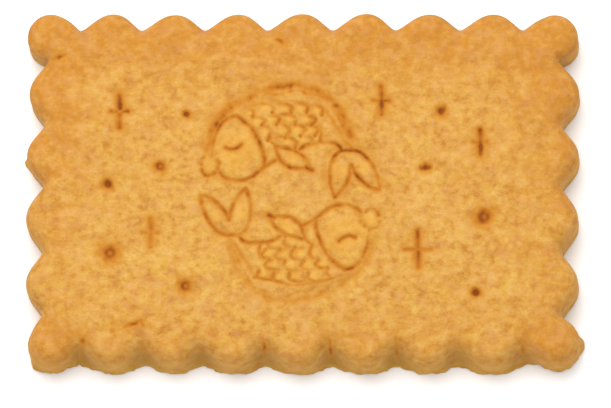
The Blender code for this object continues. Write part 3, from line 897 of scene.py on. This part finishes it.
def dough_material():
    material = bpy.data.materials.new("baked_dough")
    material.use_nodes = True
    tree = material.node_tree
    dough = Dough(tree)
    place = dough.node("ShaderNodeTexCoord", output=3)
    place = dough.node("ShaderNodeVectorMath", {"operation": "SCALE"}, {0: place, "Scale": 1 / MM})
    rolled = dough.node("ShaderNodeVectorMath", {"operation": "MULTIPLY"}, {0: place, 1: ROLLED_OUT})
    wobble = dough.node("ShaderNodeTexNoise", None, {"Vector": place, "Scale": 1.6}, output=1)
    sockets = {0: wobble, 1: (SPECK_BEND,) * 3, 2: place}
    bent = dough.node("ShaderNodeVectorMath", {"operation": "MULTIPLY_ADD"}, sockets)

    def lumps(per_mm, detail=2.0, roughness=0.5):
        """Soft noise with this many lumps to a millimetre, drawn out a little by the rolling pin."""
        sockets = {"Vector": rolled, "Scale": per_mm, "Detail": detail, "Roughness": roughness}
        return dough.node("ShaderNodeTexNoise", None, sockets)

    def specks(per_mm, size, share):
        """Round soft specks in this share of a grid of cells, 1 at their middles."""
        sockets = {"Vector": bent, "Scale": per_mm}
        gap = dough.node("ShaderNodeTexVoronoi", None, sockets)
        draw = dough.node("ShaderNodeTexVoronoi", None, sockets, output=1)
        draw = dough.node("ShaderNodeSeparateColor", None, {0: draw})
        return (1 - gap.between(0.0, size * per_mm)) * draw.between(1 - share, 1.15 - share)

    def layer(name):
        """What the mesh keeps of one of the tray's layers."""
        return dough.node("ShaderNodeAttribute", {"attribute_name": name}, output=2)

    toast_and_crease_shade, ashen_and_shade_patch, seared_ear, inset = map(layer, ("toast_and_shade", "ashen_and_notch_shade", "seared", "inset"))
    painted_notch_light, painted_notch_shade, yellow_and_highlit_pillows = map(layer, ("side_notch_light", "front_notch_shade", "puffed_tint_and_highlight"))
    backward = dough.node("ShaderNodeSeparateXYZ", None, {0: place}, output=1)
    height = dough.node("ShaderNodeSeparateXYZ", None, {0: place}, output=2)
    broad, patch, yolk, mottle = lumps(0.1), lumps(0.3, detail=3), lumps(0.45), lumps(0.7)
    clump, dust, grain, sand = lumps(1.4), lumps(2.2), lumps(3, roughness=0.6), lumps(6.5)

    # The top's even gold, in broad soft patches
    colour = (0.35 * broad + 0.35 * patch + 0.3 * mottle).between(0.36, 0.64).tint(GOLD, AMBER)
    colour = (yolk.between(0.45, 0.7) * 0.8).tint(colour, BUTTER)

    # The rim and the ears brown first, and the tint grows towards the back.
    near_rim = 1 - inset.between(*RIM_REACH)
    towards_back = backward.between(*BACK_RAMP) * 0.55 + 0.35
    patchy_rim = near_rim * towards_back * (0.4 + 1.2 * patch.between(0.3, 0.75))
    rim_back_and_ear_tint = patchy_rim + towards_back * 0.4 + seared_ear * 0.5
    colour = rim_back_and_ear_tint.tint(colour, RIM_GOLD)

    # The wall is duller than the top, lightened with painted light in the side notches, darkened with olive
    # painted shade in the front notches, and olive at the foot.
    wall = 1 - height.between(*WALL_TOP)
    foot = 1 - height.between(*FOOT_TOP)
    colour = (wall * 0.8).tint(colour, WALL_BROWN)
    colour = (wall * painted_notch_light * 0.65).tint(colour, NOTCH_LIGHT_BEIGE)
    colour = ((0.55 * wall + 0.25) * painted_notch_shade).tint(colour, NOTCH_SHADE_OLIVE)
    colour = (foot * 0.8).tint(colour, FOOT_OLIVE)

    # Flour and butter mottle the dough at every size from grains to patches.
    pale = mottle.between(0.48, 0.75) * 0.45 + clump.between(0.45, 0.8) * 0.35
    pale = pale + dust.between(0.45, 0.85) * 0.3
    colour = (pale * (1 - wall * 0.7) * (1 - 0.5 * rim_back_and_ear_tint.held())).tint(colour, STRAW)
    darkened = (1 - patch).between(0.5, 0.75) * 0.35 + (1 - mottle).between(0.45, 0.72) * 0.45
    darkened = darkened + (1 - clump).between(0.45, 0.8) * 0.45 + (1 - grain).between(0.45, 0.85) * 0.45
    darkened = darkened + (1 - sand).between(0.4, 0.85) * 0.35
    colour = darkened.tint(colour, ORANGE)
    blush = dough.node("ShaderNodeTexNoise", None, {"Vector": bent, "Scale": 1.0, "Detail": 3.0})
    colour = (blush.between(0.42, 0.7) * 0.3).tint(colour, PEACH)
    # Puffed scales and pillows: yellower dough and, partly, a painted highlight on their raised tops.
    colour = (yellow_and_highlit_pillows * 0.6).tint(colour, HONEY)
    colour = (specks(0.4, size=0.6, share=0.35) * (0.15 + 0.5 * grain)).tint(colour, MAUVE)
    colour = (specks(0.6, size=0.5, share=0.3) * 0.25).tint(colour, ORANGE)
    colour = (specks(0.35, size=0.35, share=0.25) * 0.3).tint(colour, RUSSET)

    # The stamp's cuts go from a soft tan flank to russet and then chestnut where they are deepest: browning
    # and painted shade in the cuts.
    # Ashen spots, and the greyish painted shade in the back notches.
    colour = (ashen_and_shade_patch * (0.3 + 0.9 * grain) * 0.7).tint(colour, MAUVE)
    colour = (toast_and_crease_shade.between(0.02, 0.6) * (0.8 + 0.4 * grain)).tint(colour, FLANK)
    colour = (toast_and_crease_shade.between(0.35, 1.05) * (0.65 + 0.5 * grain)).tint(colour, RUSSET)
    colour = (toast_and_crease_shade.between(0.85, 1.5) * 0.85).tint(colour, CHESTNUT)
    colour = (1 - height.between(*UNDERSIDE_EDGE)).tint(colour, UNDERSIDE_BROWN)

    roughness = 0.66 + 0.2 * grain + 0.08 * toast_and_crease_shade
    bumps = 0.8 * grain + 0.9 * sand + 0.3 * clump
    sockets = {"Height": bumps, "Distance": GRAIN_RELIEF, "Strength": 0.9}
    bump = dough.node("ShaderNodeBump", None, sockets)
    shader = tree.nodes["Principled BSDF"]
    shader.inputs["Specular IOR Level"].default_value = 0.25
    for name, value in {"Base Color": colour, "Roughness": roughness, "Normal": bump}.items():
        tree.links.new(value.socket, shader.inputs[name])
    return material


biscuit.data.materials.append(dough_material())
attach(biscuit, "root")
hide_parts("biscuit")

# The table
# A plain pale sheet just under the biscuit, far wider than the view, so that no edge of it shows.
FLOOR_HALF = 1.5
FLOOR_GAP = 0.02 * MM
PAPER_WHITE = (0.9, 0.9, 0.9, 1)
bpy.ops.mesh.primitive_plane_add(size=2 * FLOOR_HALF, location=(0, 0, -FLOOR_GAP))
table = bpy.context.object
table.name = "pale_table"
paper = bpy.data.materials.new("pale_table")
paper.use_nodes = True
paper.node_tree.nodes["Principled BSDF"].inputs["Base Color"].default_value = PAPER_WHITE
paper.node_tree.nodes["Principled BSDF"].inputs["Roughness"].default_value = 0.9
table.data.materials.append(paper)

# The studio light
# One broad soft lamp high at the back left, as the photo's lobes are darker at the front and right, and a
# pale room round it that fills the shadows.
LAMP_PLACE = Vector((-0.05, 0.15, 0.36))
LAMP_SIZE = 0.34
LAMP_POWER = 1.25
ROOM_STRENGTH = 1.0

softbox = bpy.data.lights.new("softbox", "AREA")
softbox.shape = "DISK"
softbox.size = LAMP_SIZE
softbox.energy = LAMP_POWER
lamp = bpy.data.objects.new("softbox", softbox)
lamp.location = LAMP_PLACE
lamp.rotation_euler = (-LAMP_PLACE).to_track_quat("-Z", "Y").to_euler()
bpy.context.scene.collection.objects.link(lamp)
room = bpy.data.worlds.new("pale_room")
room.use_nodes = True
room.node_tree.nodes["Background"].inputs["Color"].default_value = (1, 1, 1, 1)
room.node_tree.nodes["Background"].inputs["Strength"].default_value = ROOM_STRENGTH
bpy.context.scene.world = room
bpy.context.scene.view_settings.view_transform = "Standard"

# The camera
# It looks almost straight down from far off, leaning a little to the front and right as the photo does,
# with the biscuit's long side level in the frame.
PHOTO_WIDTH = 611
PHOTO_MM_PER_PIXEL = 0.117
VIEW_DISTANCE = 650
LEAN_FRONT = math.radians(11)
LEAN_RIGHT = math.radians(2.5)
AIM = Vector((0.51, -1.95, 6.0))

towards_camera = Vector((math.sin(LEAN_RIGHT), -math.sin(LEAN_FRONT), 0))
towards_camera.z = math.sqrt(1 - towards_camera.length_squared)
level = (Vector((1, 0, 0)) - towards_camera * towards_camera.x).normalized()
upright = towards_camera.cross(level)
lens = bpy.data.cameras.new("photo_camera")
lens.sensor_width = 36
lens.lens = lens.sensor_width * VIEW_DISTANCE / (PHOTO_WIDTH * PHOTO_MM_PER_PIXEL)
lens.clip_end = 10
camera = bpy.data.objects.new("photo_camera", lens)
turned = Matrix((level, upright, towards_camera)).transposed().to_4x4()
camera.matrix_world = Matrix.Translation((AIM + towards_camera * VIEW_DISTANCE) * MM) @ turned
bpy.context.scene.collection.objects.link(camera)
bpy.context.scene.camera = camera
